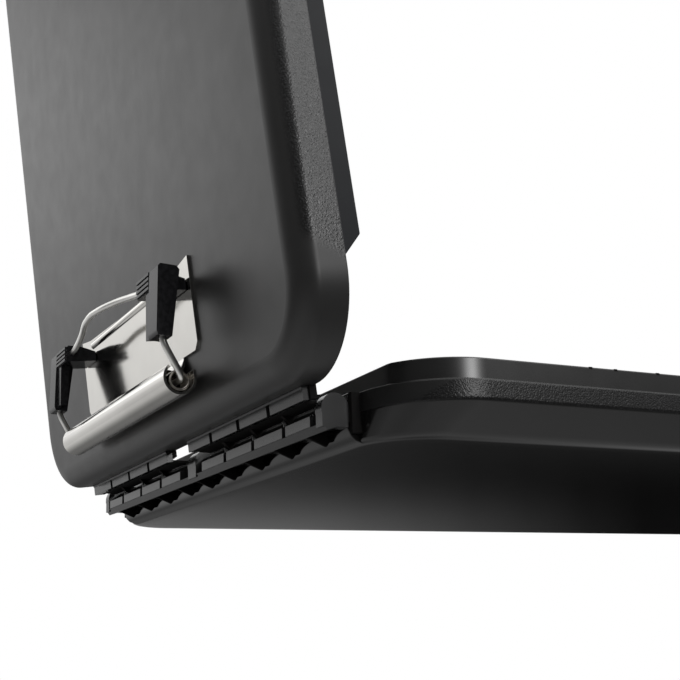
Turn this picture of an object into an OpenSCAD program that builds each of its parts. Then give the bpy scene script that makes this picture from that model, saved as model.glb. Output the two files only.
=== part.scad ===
// Storage clipboard box: a shallow tray and a hollow lid joined by a rod hinge,
// with a sprung wire clip on the lid's outer face.
// Frame: +Z up, the tray lies flat on Z=0, the hinge runs along X, the tray reaches
// towards +Y, and the origin is the centre of the tray's flat bottom.
// The modules work from the hinge axis: X along it, Y inboard, Z up.

/* [Case] */
// Width of the case at the parting line
case_w = 240; // [226:2:280]
// Length of the case at the parting line, without the hinge
case_l = 333; // [260:1:380]
// Plan radius of the case's corners
corner_r = 25; // [18:1:32]
// Height of the tray from its bottom to the parting line
tray_h = 13.8; // [12.8:0.1:30]
// Height of the lid from the parting line to its outer face
lid_h = 13.6; // [12.6:0.1:24]
// Clearance between pieces of the case that pass each other
case_gap = 0.3; // [0.2:0.05:0.5]
// Angle at which the lid stands open on its stop
open_angle = 97; // [60:1:110]

/* [Tray] */
// Height of the tray's upright band below the parting line
tray_band_h = 5.4; // [3:0.1:6]
// Distance that the bottom's edge lies in from the sides
bottom_inset = 11.3; // [6:0.1:14]
// Distance of the bottom's hinge edge from the hinge axis
bottom_start = 2.7; // [2:0.1:4]
// Plan radius of the bottom's corners
bottom_r = 18; // [12:1:24]
// Thickness of the tray's floor
floor_t = 2; // [1.5:0.1:3]
// Thickness of the tray's wall with its rim
tray_wall = 3; // [2.6:0.1:3.4]
// Thickness of the rim
rim_t = 1.5; // [1.2:0.1:1.7]
// Height of the rim above the parting line
rim_h = 5.8; // [3:0.1:6]
// Distance of the rim's flat hinge face from the hinge axis
rim_start = 10.3; // [9.9:0.1:12]
// Width of a notch in the rim's top edge
nick_w = 1.1; // [0.6:0.1:2]
// Depth of a notch in the rim's top edge
nick_h = 0.6; // [0.3:0.1:1]
// Distance from the first notch of a group to the second
nick_pair = 8.6; // [5:0.1:12]
// Distance from the first notch of a group to the third
nick_third = 23.6; // [16:0.1:30]
// Distance between groups of notches
nick_group = 72; // [60:1:90]
// Distance of the first notch from the hinge axis
nick_start = 65; // [50:1:90]

/* [Lid] */
// Height of the lid's upright band above the parting line
lid_band_h = 7.6; // [6.6:0.1:9]
// Distance over which the lid's edge rounds in to its outer face
lid_round = 7.75; // [5:0.25:9]
// Thickness of the lid's outer face
lid_t = 2.2; // [1.8:0.1:3]
// Thickness of the lid's wall above the rabbet for the rim
lid_wall = 2.4; // [2:0.1:2.8]
// Thickness of the tongue inside each side wall
tongue_t = 1.5; // [1.2:0.1:2]
// Distance that the tongue sticks out past the parting line
tongue_out = 6.6; // [3:0.1:7]
// Distance of the tongue's outer side from the side of the case
tongue_in = 5; // [4.7:0.1:6]
// Distance of the tongue's start from the hinge axis
tongue_start = 35; // [33:1:60]
// Width of the snap ridge at the front
snap_w = 24; // [12:1:40]
// Height of the snap ridge off the front wall
snap_h = 0.7; // [0.4:0.1:0.8]

/* [Hinge] */
// Radius of the hinge rods
rod_r = 1.6; // [1.3:0.1:1.8]
// Running clearance between a rod and the holes around it
rod_gap = 0.05; // [0.02:0.01:0.1]
// Radius of the tray's knuckles
knuckle_r = 3; // [2.8:0.1:3.3]
// Radius of the outer and centre lugs
lug_r = 4.05; // [3.8:0.05:4.2]
// Radius of the lid's eyelets
eyelet_r = 2.8; // [2.6:0.1:3]
// Distance from the centre of the hinge to the first slit
slit_first = 29.2; // [27:0.1:30]
// Pitch of the slits
slit_pitch = 21.2; // [18:0.1:21.6]
// Width of a slit
slit_w = 2.2; // [2:0.1:2.6]
// Thickness of a lid arm in its slit
arm_t = 1.6; // [1.2:0.1:1.7]
// Start of the first knuckle from the centre of the hinge
knuckle_start = 10; // [8:0.5:16]
// End of the last knuckle from the centre of the hinge
knuckle_end = 86.5; // [84:0.5:88]
// Thickness of the outer lugs
lug_t = 6; // [4:0.5:7]
// Half thickness of the centre lug
centre_lug = 3.5; // [2.5:0.5:5]
// Distance of the outer lugs' outer sides from the centre of the hinge
lug_end = 94.5; // [93.5:0.5:97]
// Thickness of a gusset under the ledge
gusset_t = 1.5; // [1:0.1:2.5]
// Pitch of the gussets
gusset_pitch = 21.1; // [18:0.1:22]
// Distance of the lid's flange edge from the hinge axis
flange_start = 2.7; // [2.2:0.1:3.2]
// Thickness of the lid's flange
flange_t = 2; // [1.5:0.1:2.2]

/* [Clip] */
// Length of the clip plate along the hinge
clip_w = 108; // [96:1:120]
// Thickness of the clip's sheet steel
sheet_t = 0.8; // [0.6:0.1:1]
// Distance of the plate's straight edge from the hinge axis
plate_start = 26.5; // [26:0.5:28]
// Distance of the plate's far edge from the hinge axis
plate_end = 52; // [50:0.5:56]
// Height of the plate's pointed corners past its far edge
plate_point = 2.3; // [0:0.1:4]
// Outer radius of the rolled channel
roll_r = 5; // [4.9:0.1:5.2]
// Distance of the channel's centre from the hinge axis
roll_u = 18.5; // [18:0.1:19]
// Height of the channel's centre above the lid
roll_h = 7; // [6.8:0.1:7.4]
// Length of each open notch beside the channel
notch_w = 12; // [10:0.5:14]
// Diameter of the bail's wire
wire_d = 2; // [1.6:0.1:2.2]
// Diameter of the springs' wire
spring_d = 1; // [0.8:0.1:1]
// Number of turns of a spring
spring_turns = 6; // [3:1:7]
// Distance of the bail's bearings from the ends of the plate
bearing_in = 11; // [9.5:0.5:13]
// Length of a grip along the bail's arm
grip_l = 21; // [16:0.5:23]
// Width of a grip's side part
grip_w = 7.5; // [6:0.5:8]
// Reach of a grip's cross part from its outer side
grip_reach = 19.5; // [15:0.5:24]

/* [Hidden] */
$fn = 96;
hull_fn = 32;
eps = 0.01;

// Heights from the hinge axis
parting_z = 4.5;
bottom_z = parting_z - tray_h;
band_z = parting_z - tray_band_h - case_gap / 2;
tray_top_z = parting_z - case_gap / 2;
rim_top_z = parting_z + rim_h;
lid_edge_z = parting_z + case_gap / 2;
lid_band_z = lid_edge_z + lid_band_h;
lid_top_z = lid_edge_z + lid_h;

// Distances from the hinge axis
case_start = 6.5;
case_end = case_start + case_l;
side_x = case_w / 2;
bottom_end = case_end - bottom_inset;
rim_inset = 1.5;
wall_lap = 1.5;
bottom_centre = (bottom_start + bottom_end) / 2;

// Steel and plastic colours
plastic = [0.16, 0.16, 0.17];
plastic_lid = [0.2, 0.2, 0.21];
steel = [0.78, 0.78, 0.76];
grip_black = [0.05, 0.05, 0.055];

// Places what is modelled about the hinge axis into the part's frame
module place() translate([0, -bottom_centre, -bottom_z]) children();

// Turns the closed lid and all it carries open about the hinge axis
module open_lid() place() rotate([open_angle, 0, 0]) children();

// Copies its children to both ends of the hinge
module both_ends() {
    children();
    mirror([1, 0, 0]) children();
}

// A rectangle with round corners, half_w to each side and from y0 to y1
module round_rect(half_w, y0, y1, r) {
    translate([-half_w + r, y0]) square([2 * (half_w - r), y1 - y0]);
    translate([-half_w, y0 + r]) square([2 * half_w, y1 - y0 - 2 * r]);
    for (x = [-half_w + r, half_w - r], y = [y0 + r, y1 - r]) translate([x, y]) circle(r);
}

// The case's outline, taken in by inset on its sides and front
module case_plate(inset, z0, z1, hinge_in = 0) {
    translate([0, 0, z0]) linear_extrude(z1 - z0)
        round_rect(side_x - inset, case_start + hinge_in, case_end - inset, corner_r - inset);
}

// A profile in Y and Z, extruded along X from x0 to x1
module along_x(x0, x1) {
    translate([x0, 0, 0]) rotate([90, 0, 90]) linear_extrude(x1 - x0) children();
}

// A round bar along X about the hinge axis
module bar_x(x0, x1, r) translate([x0, 0, 0]) rotate([0, 90, 0]) cylinder(r = r, h = x1 - x0);

// ---- hinge ----
slits = [for (i = [0 : 2]) slit_first + i * slit_pitch];
block_starts = concat([knuckle_start], [for (s = slits) s + slit_w / 2]);
knuckle_ends = concat([for (s = slits) s - slit_w / 2], [knuckle_end]);
flange_end = lug_end - 3.5;
flange_ends = concat([for (s = slits) s - slit_w / 2], [flange_end]);
ledge_front = -3.9;
ledge_z = -5.8;
ledge_top_z = -3.8;
ledge_wall_z = -3.6;
ledge_t = 1.5;
pad_front = -4.3;
pad_top_z = -0.5;
housing_front = 4;
housing_z = ledge_z - 0.7;
housing_x = lug_end + 1.5;
lug_base_z = ledge_z + 1;
eyelet_space = eyelet_r + 0.5;
centre_web = 1;
rod_blind = 2.5;
rod_end_gap = 0.3;
gusset_foot = 0.7;
gusset_shift = 2.4;
gussets = [for (i = [-4 : 4]) i * gusset_pitch - sign(i) * gusset_shift];

// A knuckle with its flat pad in front and its web down to the ledge
module knuckle_profile() {
    circle(knuckle_r);
    polygon([[0, pad_top_z], [pad_front, pad_top_z], [pad_front, ledge_top_z], [ledge_front, ledge_top_z],
        [ledge_front, ledge_z], [housing_front, ledge_wall_z], [housing_front, 0], [0, 0]]);
}

module lug_profile() {
    circle(lug_r);
    translate([ledge_front, lug_base_z]) square([housing_front - ledge_front, -lug_base_z]);
}

module ledge_profile() {
    polygon([[ledge_front, ledge_top_z], [ledge_front, ledge_z], [housing_front, ledge_wall_z],
        [housing_front, ledge_wall_z + ledge_t]]);
}

module gusset_profile() {
    polygon([[ledge_front, ledge_z], [bottom_start + gusset_foot, bottom_z + gusset_foot],
        [housing_front, bottom_z + gusset_foot], [housing_front, ledge_wall_z]]);
}

// The wall under the ledge, which leans out from the bottom's edge to the housing
module foot_profile() {
    polygon([[bottom_start, bottom_z], [housing_front, housing_z], [case_start, housing_z],
        [case_start, bottom_z]]);
}

// The tray's half of the hinge, solid, before the slits and rod holes are cut
module tray_hinge() {
    along_x(-housing_x, housing_x) translate([housing_front, housing_z])
        square([case_start + wall_lap - housing_front, tray_top_z - housing_z]);
    along_x(-lug_end, lug_end) foot_profile();
    along_x(-lug_end, lug_end) ledge_profile();
    along_x(-centre_lug, centre_lug) lug_profile();
    both_ends() {
        for (i = [0 : len(block_starts) - 1]) along_x(block_starts[i], knuckle_ends[i]) knuckle_profile();
        along_x(lug_end - lug_t, lug_end) lug_profile();
    }
    for (x = gussets) along_x(x - gusset_t / 2, x + gusset_t / 2) gusset_profile();
}

// ---- tray ----
over = 1;
slope_wall = 1.2;
slope_top_z = band_z - 0.6;
hinge_wall = 2.5;
hinge_slope = 3;
rim_root_z = tray_top_z - 2;
snap_slot_h = 3;
snap_slot_w = 2;
snap_play = 0.8;

// The half of the case at and past the rim's flat hinge face
module past_rim_face(wall) {
    translate([-side_x, rim_start + wall, bottom_z]) cube([case_w, case_l, 2 * tray_h + rim_h]);
}

// The tray's hollow outline at a height, where its walls stand upright
module upright_hollow(z) {
    translate([0, 0, z]) linear_extrude(eps) round_rect(side_x - tray_wall, case_start + hinge_wall,
        case_end - tray_wall, corner_r - tray_wall, $fn = hull_fn);
}

module tray_cavity() {
    low_x = bottom_inset + slope_wall;
    hull() {
        translate([0, 0, bottom_z + floor_t]) linear_extrude(eps) round_rect(side_x - low_x,
            bottom_start + hinge_slope, case_end - low_x, bottom_r - slope_wall, $fn = hull_fn);
        upright_hollow(slope_top_z);
        upright_hollow(rim_root_z);
    }
    intersection() {
        case_plate(rim_inset + rim_t, rim_root_z - eps, rim_top_z + over, rim_inset + rim_t);
        past_rim_face(rim_t);
    }
}

// One group of three notches in the rim of a side, then the next
module rim_notches() {
    for (y = [nick_start : nick_group : case_end - nick_group], k = [0, nick_pair, nick_third])
        translate([side_x - rim_inset - rim_t - over, y + k, rim_top_z - nick_h])
            cube([rim_t + 2 * over, nick_w, nick_h + over]);
}

module tray() color(plastic) place() difference() {
    union() {
        case_plate(0, band_z, tray_top_z);
        hull() {
            translate([0, 0, band_z]) linear_extrude(eps)
                round_rect(side_x, case_start, case_end, corner_r, $fn = hull_fn);
            translate([0, 0, bottom_z]) linear_extrude(eps)
                round_rect(side_x - bottom_inset, bottom_start, bottom_end, bottom_r, $fn = hull_fn);
        }
        intersection() {
            case_plate(rim_inset, rim_root_z, rim_top_z, rim_inset);
            past_rim_face(0);
        }
        tray_hinge();
    }
    tray_cavity();
    rim_notches();
    mirror([1, 0, 0]) rim_notches();
    both_ends() {
        for (s = slits) bar_x(s - slit_w / 2, s + slit_w / 2, eyelet_space);
        bar_x(centre_web, lug_end - rod_blind, rod_r + rod_gap);
    }
    translate([-snap_w / 2 - over, case_end - rim_inset - snap_play, parting_z + snap_play])
        cube([snap_w + 2 * over, snap_slot_w, snap_slot_h]);
}

// A rod about the hinge axis, from beside the centre lug's middle into an outer lug
module hinge_rod() bar_x(centre_web + rod_end_gap, lug_end - rod_blind - rod_end_gap, rod_r);
module hinge_rod_near() color(plastic_lid) place() hinge_rod();
module hinge_rod_far() color(plastic_lid) place() mirror([1, 0, 0]) hinge_rod();

// ---- lid, modelled closed ----
flange_z = 8.4;
round_steps = 5;
round_angle = 80;

module lid_outer() {
    case_plate(0, lid_edge_z, lid_band_z);
    hull() for (i = [0 : round_steps]) {
        a = round_angle * i / round_steps;
        inset = lid_round * (1 - cos(a)) / (1 - cos(round_angle));
        z = lid_band_z + (lid_top_z - lid_band_z - eps) * sin(a) / sin(round_angle);
        translate([0, 0, z]) linear_extrude(eps)
            round_rect(side_x - inset, case_start + inset, case_end - inset, corner_r - inset, $fn = hull_fn);
    }
}

module lid_cavity() {
    rabbet = rim_inset - case_gap;
    case_plate(rabbet, lid_edge_z - over, rim_top_z + case_gap, rabbet);
    hull() {
        translate([0, 0, lid_edge_z - over]) linear_extrude(lid_band_h + over)
            round_rect(side_x - lid_wall, case_start + lid_wall, case_end - lid_wall, corner_r - lid_wall,
                $fn = hull_fn);
        translate([0, 0, lid_top_z - lid_t]) linear_extrude(eps)
            round_rect(side_x - lid_round, case_start + lid_round, case_end - lid_round, corner_r - lid_round,
                $fn = hull_fn);
    }
}

arm_back = housing_front - 0.6;
arm_root_z = flange_z - flange_t;
bracket_t = 2.5;
bracket_start = 3.4;

// An arm's eyelet and its neck, which clears the tray's housing when the lid is closed
module arm_profile() {
    circle(eyelet_r);
    polygon([[-0.57 * eyelet_r, 0.8 * eyelet_r], [0.3 * eyelet_r, 1.5 * eyelet_r],
        [arm_back, arm_root_z - 1], [case_start + over, arm_root_z], [case_start + over, lid_edge_z],
        [housing_front, lid_edge_z], [arm_back, lid_edge_z - 1], [eyelet_r, 0], [0, 0]]);
}

tongue_root = 0.5;
module tongue() {
    out_z = parting_z - tongue_out;
    root_z = lid_top_z - lid_t + tongue_root;
    tongue_end = case_end - tongue_start;
    x = side_x - tongue_in - tongue_t;
    chamfer = tongue_out;
    along_x(x, x + tongue_t) polygon([[tongue_start, root_z], [tongue_start, parting_z],
        [tongue_start + chamfer, out_z], [tongue_end - chamfer, out_z], [tongue_end, parting_z],
        [tongue_end, root_z]]);
}

module lid_hinge() {
    both_ends() {
        for (i = [0 : len(block_starts) - 1])
            translate([block_starts[i], flange_start, flange_z - flange_t])
                cube([flange_ends[i] - block_starts[i], case_start + over - flange_start, flange_t]);
        for (s = slits) along_x(s - arm_t / 2, s + arm_t / 2) arm_profile();
        translate([lug_end - bracket_t, bracket_start, lid_edge_z])
            cube([bracket_t, case_start + over - bracket_start, flange_z - lid_edge_z]);
    }
}

tab_w = 8;
tab_x = clip_w * 5 / 18;
tab_slot = 0.2;
tab_fold = 3;
tab_u = [plate_start + 1.2, plate_end - 4];

module tab_slots() {
    for (x = [-tab_x, tab_x], u = tab_u)
        translate([x - tab_w / 2 - tab_slot, u - tab_slot, lid_top_z - lid_t - over])
            cube([tab_w + 2 * tab_slot, sheet_t + 2 * tab_slot, lid_t + 2 * over]);
}

snap_z = parting_z + 1.6;
snap_ridge_h = 1.4;
snap_root = 0.5;

module lid() color(plastic_lid) open_lid() difference() {
    union() {
        difference() {
            lid_outer();
            lid_cavity();
        }
        both_ends() tongue();
        lid_hinge();
        translate([-snap_w / 2, case_end - rim_inset + case_gap - snap_h, snap_z])
            cube([snap_w, snap_h + snap_root, snap_ridge_h]);
    }
    both_ends() for (s = slits) bar_x(s - arm_t, s + arm_t, rod_r + rod_gap);
    tab_slots();
}

// ---- clip plate with its rolled channel, modelled on the closed lid ----
clip_x = clip_w / 2;
roll_x = clip_x - 0.7;
lip_angle = 38;
bead_r = 1.5;
bead_u = plate_end - 1.8;
bead_sink = 0.3;
pivot_u = roll_u - 0.6;
pivot_h = roll_h;
bearing_x = clip_x - bearing_in;
bearing_t = 1.2;
shoulder_x = 10;
shoulder_u = 1;
corner_cut = 2.3;

module channel_profile() {
    translate([roll_u, roll_h]) difference() {
        circle(roll_r);
        circle(roll_r - sheet_t);
        polygon([[0, 0], [0, -2 * roll_r], [3 * roll_r, -2 * roll_r],
            [3 * roll_r * cos(lip_angle), 3 * roll_r * sin(lip_angle)]]);
    }
    translate([roll_u, roll_h - roll_r]) square([foot_l - foot_lap, sheet_t]);
}

foot_l = 3;
foot_lap = 1;
bend_lean = 0.4;

// The sheet's step down from the channel's foot to the plate
module joggle_profile() {
    z = roll_h - roll_r;
    polygon([[roll_u + foot_l / 2, z], [roll_u + foot_l, z], [plate_start - 1, 0],
        [plate_start + foot_lap, 0], [plate_start + foot_lap, sheet_t], [plate_start - 1 + bend_lean, sheet_t],
        [roll_u + foot_l + bend_lean, z + sheet_t], [roll_u + foot_l / 2, z + sheet_t]]);
}

// The plate's outline: pointed far corners, and cut corners at the notches
module plate_outline() {
    half = [[clip_x - notch_w - bearing_cut, plate_start], [clip_x - corner_cut, plate_start],
        [clip_x, plate_start + corner_cut], [clip_x, plate_end + plate_point],
        [clip_x - shoulder_x, plate_end + shoulder_u]];
    polygon(concat([for (p = half) p], [[0, plate_end]],
        [for (i = [len(half) - 1 : -1 : 0]) [-half[i][0], half[i][1]]]));
}
bearing_cut = 4;

module clip_plate() color(steel) open_lid() translate([0, 0, lid_top_z]) {
    difference() {
        union() {
            linear_extrude(sheet_t) plate_outline();
            along_x(-roll_x, roll_x) channel_profile();
            along_x(notch_w - clip_x, clip_x - notch_w) joggle_profile();
            along_x(notch_w - clip_x, clip_x - notch_w) intersection() {
                translate([bead_u, -bead_sink]) circle(bead_r);
                translate([bead_u - bead_r, 0]) square([2 * bead_r, bead_r]);
            }
            both_ends() along_x(bearing_x - bearing_t / 2, bearing_x + bearing_t / 2)
                translate([roll_u, roll_h]) circle(roll_r - sheet_t / 2);
            for (x = [-tab_x, tab_x], u = tab_u) {
                translate([x - tab_w / 2, u, -lid_t - sheet_t]) cube([tab_w, sheet_t, lid_t + 2 * sheet_t]);
                translate([x - tab_w / 2, u, -lid_t - sheet_t]) cube([tab_w, tab_fold, sheet_t]);
            }
        }
        translate([0, pivot_u, pivot_h]) bar_x(-clip_x, clip_x, wire_d / 2 + rod_gap);
    }
}

// ---- bail, modelled on the closed lid ----
// One half of the bail's centre line: distance along the hinge, from it, and above the lid
arm_x = clip_x + 1.1;
grip_out = arm_x + 3.5;
grip_in = grip_out - grip_w;
corner_bend = 2;
bend_cut = 0.6;
cross_u = plate_end - 4.2;
cross_h = 9.4;
grip_end = cross_u + 2.5;
grip_start = grip_end - grip_l;
foot_h = 11.9;
bow_x = grip_out - grip_reach - 2.1;
// The bow's shares of bow_x, its distance from the cross part and its height over it
bow = [[0.78, 1.2, 0.4], [0.54, 2.4, 1.5], [0.27, 2.9, 3.6], [0, 3.3, 4.4]];
stub_start = [0.5, 0.25];
arm_foot = [arm_x, grip_start, foot_h];
arm_top = [arm_x, cross_u - corner_bend, cross_h + 0.3];
cross_start = [arm_x - corner_bend, cross_u, cross_h];
bow_points = [for (b = bow) [b[0] * bow_x, cross_u + b[1], cross_h + b[2]]];
bail_half = concat([
    [arm_x, pivot_u - stub_start[0], pivot_h - stub_start[1]],
    arm_foot,
    arm_top,
    [arm_x - bend_cut, cross_u - bend_cut, cross_h + 0.1],
    cross_start,
    [bow_x, cross_u, cross_h],
], bow_points);
bail_points = concat(bail_half,
    [for (i = [len(bail_half) - 2 : -1 : 0]) [-bail_half[i][0], bail_half[i][1], bail_half[i][2]]]);
wire_sides = 12;

function unit(v) = v / norm(v);

// The direction of the line at point i, halfway between the two pieces that meet there
function tangent(points, i) = i == 0 ? unit(points[1] - points[0])
    : i == len(points) - 1 ? unit(points[i] - points[i - 1])
    : unit(unit(points[i] - points[i - 1]) + unit(points[i + 1] - points[i]));

// A ring of points about point i, widened at a bend so that the wire keeps its thickness
function ring(points, i, r) =
    let (t = tangent(points, i), across = unit(cross(t, [0, 0, 1])), up = cross(across, t))
    [for (k = [0 : wire_sides - 1])
        points[i] + r * (cos(360 * k / wire_sides) * across + sin(360 * k / wire_sides) * up)];

// A round wire of radius r along points
module wire(points, r) {
    rings = [for (i = [0 : len(points) - 1]) each ring(points, i, r)];
    n = wire_sides;
    last = (len(points) - 1) * n;
    sides = [for (i = [0 : len(points) - 2], k = [0 : n - 1])
        [i * n + k, i * n + (k + 1) % n, (i + 1) * n + (k + 1) % n, (i + 1) * n + k]];
    polyhedron(rings, concat(sides, [[for (k = [n - 1 : -1 : 0]) k], [for (k = [0 : n - 1]) last + k]]));
}

module on_lid() open_lid() translate([0, 0, lid_top_z]) children();

stub_in = 2.5;
stub_out = 0.7;

// The wire, and its in-turned ends in the bearings
module bail_wire() color(steel) on_lid() {
    wire(bail_points, wire_d / 2);
    both_ends() translate([0, pivot_u, pivot_h]) bar_x(bearing_x - stub_in, arm_x + stub_out, wire_d / 2);
}

spring_play = 0.95;
spring_end_gap = 0.8;
tail_l = 5;
spring_fn = 24;

// A close coil about the bail's pivot, with its tail against the channel
module bail_spring() {
    mean_r = roll_r - sheet_t - spring_d / 2 - spring_play;
    pitch = 1.1 * spring_d;
    first_x = roll_x - spring_end_gap - spring_turns * pitch;
    translate([first_x, pivot_u, pivot_h]) {
        rotate([0, 90, 0]) rotate_extrude() {
            for (i = [0 : spring_turns - 1])
                translate([mean_r, (i + 0.5) * pitch]) circle(spring_d / 2, $fn = spring_fn);
            translate([mean_r - spring_d / 4, pitch / 2]) square([spring_d / 2, (spring_turns - 1) * pitch]);
        }
        translate([pitch / 2, 0, -mean_r]) rotate([-90, 0, 0]) cylinder(r = spring_d / 2, h = tail_l, $fn = spring_fn);
    }
}
module bail_spring_near() color(steel) on_lid() bail_spring();
module bail_spring_far() color(steel) on_lid() mirror([1, 0, 0]) bail_spring();

// The hole that the bail's wire fills in a grip
module grip_hole() {
    r = wire_d / 2 + rod_gap;
    arm = arm_top - arm_foot;
    translate(arm_foot) rotate([-acos(arm[2] / norm(arm)), 0, 0]) translate([0, 0, -grip_l])
        cylinder(r = r, h = norm(arm) + grip_l);
    translate([0, cross_u, cross_h]) bar_x(0, cross_start[0], r);
    translate([arm_x - bend_cut, cross_u - bend_cut, cross_h]) sphere(wire_d + 0.2);
}

jaw_gap = 0.3;
flange_w = 4.5;
rib_n = 4;
rib_pitch = 1.4;
rib_groove = 0.5;
rib_fall = 0.2;

// The side part's outline, from its start over the arm's foot to its end past the cross part
side_profile = [[grip_start, foot_h - 2], [grip_start + 0.7, foot_h + 2.1], [grip_start + 2, foot_h + 2.4],
    [grip_end - 0.3, cross_h + 2.2], [grip_end + 0.3, cross_h + 1.4], [grip_end - 0.5, cross_h - 3.4],
    [grip_end - 1.7, cross_h - 4.1]];
// The cross part's outline, with its jaw down to the plate
jaw_profile = [[cross_u - 3.2, sheet_t + jaw_gap], [cross_u + 0.2, sheet_t + jaw_gap],
    [cross_u + 2, cross_h - 3.6], [grip_end + 0.2, cross_h + 1.2], [grip_end - 0.3, cross_h + 1.8],
    [cross_u - 3, cross_h + 2.6]];
// The inner flange's outline, beside the arm
flange_profile = [[grip_start + 1.5, foot_h - 0.9], [grip_start + 1.5, foot_h + 1.5],
    [cross_u - 1.8, cross_h + 2.2], [cross_u - 1.8, cross_h - 1]];

// A moulded grip: a side part over the arm, a cross part with a ribbed top, and a flange
module bail_grip() difference() {
    union() {
        along_x(grip_in, grip_out) polygon(side_profile);
        along_x(grip_out - grip_reach, grip_in + over) polygon(jaw_profile);
        along_x(grip_in - flange_w, grip_in + over) polygon(flange_profile);
    }
    grip_hole();
    along_x(grip_out - grip_reach - over, grip_in - rib_groove) for (i = [0 : rib_n - 1])
        translate([cross_u - 2.4 + rib_pitch * i, cross_h + 2.1 - rib_fall * i]) square([rib_groove, 2]);
}
module bail_grip_near() color(grip_black) on_lid() bail_grip();
module bail_grip_far() color(grip_black) on_lid() mirror([1, 0, 0]) bail_grip();

tray();
lid();
hinge_rod_near();
hinge_rod_far();
clip_plate();
bail_wire();
bail_spring_near();
bail_spring_far();
bail_grip_near();
bail_grip_far();
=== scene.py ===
"""Looks of the storage clipboard box: shells, hinge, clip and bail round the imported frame."""
import math

import bmesh
import bpy
import numpy as np
from mathutils import Matrix, Vector

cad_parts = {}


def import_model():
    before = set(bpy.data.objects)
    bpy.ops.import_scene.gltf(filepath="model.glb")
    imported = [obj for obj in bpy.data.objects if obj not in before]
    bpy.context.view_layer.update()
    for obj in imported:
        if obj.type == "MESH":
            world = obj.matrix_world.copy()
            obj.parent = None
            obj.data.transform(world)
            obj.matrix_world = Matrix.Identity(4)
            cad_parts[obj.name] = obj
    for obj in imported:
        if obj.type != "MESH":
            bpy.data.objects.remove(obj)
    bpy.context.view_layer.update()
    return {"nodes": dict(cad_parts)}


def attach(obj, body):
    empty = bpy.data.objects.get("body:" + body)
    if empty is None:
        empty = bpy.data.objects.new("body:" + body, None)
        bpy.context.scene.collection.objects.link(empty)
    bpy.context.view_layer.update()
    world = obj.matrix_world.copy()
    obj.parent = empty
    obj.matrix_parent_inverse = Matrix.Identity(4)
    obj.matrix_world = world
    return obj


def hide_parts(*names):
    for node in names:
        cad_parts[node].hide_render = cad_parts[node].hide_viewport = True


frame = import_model()

MM = 0.001
HINGE = Vector((0, -0.16545, 0.0093))
OPEN_ANGLE = math.radians(97)

# The shells and the hinge are modelled in millimetres from the hinge axis: X along it,
# Y inboard, Z up. The lid is modelled closed and then turned open.
TRAY_PLACE = Matrix.Translation(HINGE) @ Matrix.Scale(MM, 4)
LID_PLACE = (Matrix.Translation(HINGE) @ Matrix.Rotation(OPEN_ANGLE, 4, "X")
             @ Matrix.Scale(MM, 4))

# Sizes of the case, in millimetres. Insets count inward from its side.
SIDE_X = 120.0
CASE_START = 6.5
CASE_END = 339.5
CORNER_R = 25.0
PARTING = 4.5
GAP = 0.3
SHARP = 0.01  # distance to a second level that keeps a flat end's edge sharp
# The tray
BOTTOM_Z = -9.3
BAND_Z = -1.05
BOTTOM_INSET = 11.3
BOTTOM_START = 6.5
BOTTOM_R = 18.0
FLOOR_T = 2.0
SKIRT_T = 1.2
RIM_INSET = 1.5
RIM_T = 1.5
RIM_TOP = 10.3
RIM_START = 10.3
# The nicks in the rim's sides: three in a group, at these distances from the group's start
NICK_W = 1.1
NICK_H = 0.6
NICK_STEPS = (0, 8.6, 23.6)
NICK_GROUPS = 3
NICK_GROUP_PITCH = 72
NICK_START = 65
NICK_PROUD = 0.04
# The lid
LID_BAND = 12.25
LID_TOP = 18.25
LID_ROUND = 7.75
LID_T = 2.2
LID_WALL = 2.4
TONGUE_IN = 6.5
TONGUE_T = 1.5
TONGUE_OUT = 8.7
TONGUE_START = 31.8
TONGUE_SLOPE = 9.4

# Sizes of the hinge, in millimetres
KNUCKLE_R = 1.65
LUG_R = 4.05
EYELET_R = 2.1
SLIT_W = 2.2
SLITS = [29.2 + 21.2 * i for i in range(3)]
FIRST_START = 10.0
ARM_T = 1.6
NOSE_SPAN = (0.8, 0.3)  # a nose's ends, before the middle of its slit
HOUSING_Y = 4.0
INTO_HOUSING = 0.5  # how far the profiles run on into the tray's wall
LUG_END = 94.5
LUG_T = 3.8
CENTRE_LUG = 3.5
LEDGE_Y = -3.9
LEDGE_Z = -5.9
LEDGE_FOOT = -2.5
LEDGE_TOP_Z = -4.05
LEDGE_WALL_Z = -3.6
LEDGE_T = 1.5
PAD_END = 88.0
PAD_Y = -4.3
PAD_TOP_Z = -1.25
PAD_LIP = 1.6
PAD_LIP_H = 0.3
STUB_R = 1.0
GUSSET_PITCH = 21.1
GUSSET_SHIFT = 2.4  # how much nearer the middle the gussets lie than their pitch says
GUSSET_T = 1.2
FLANGE_Z = 8.4
FLANGE_T = 2.0
FLANGE_START = 2.7
FLANGE_END = 93.7
BRACKET_T = 2.5

# The runs of pads and flanges along X, from slit to slit
STARTS = [FIRST_START] + [s + SLIT_W / 2 for s in SLITS]
PADS = list(zip(STARTS, [s - SLIT_W / 2 for s in SLITS] + [PAD_END]))
FLANGES = list(zip(STARTS, [s - SLIT_W / 2 for s in SLITS] + [FLANGE_END]))

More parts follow.
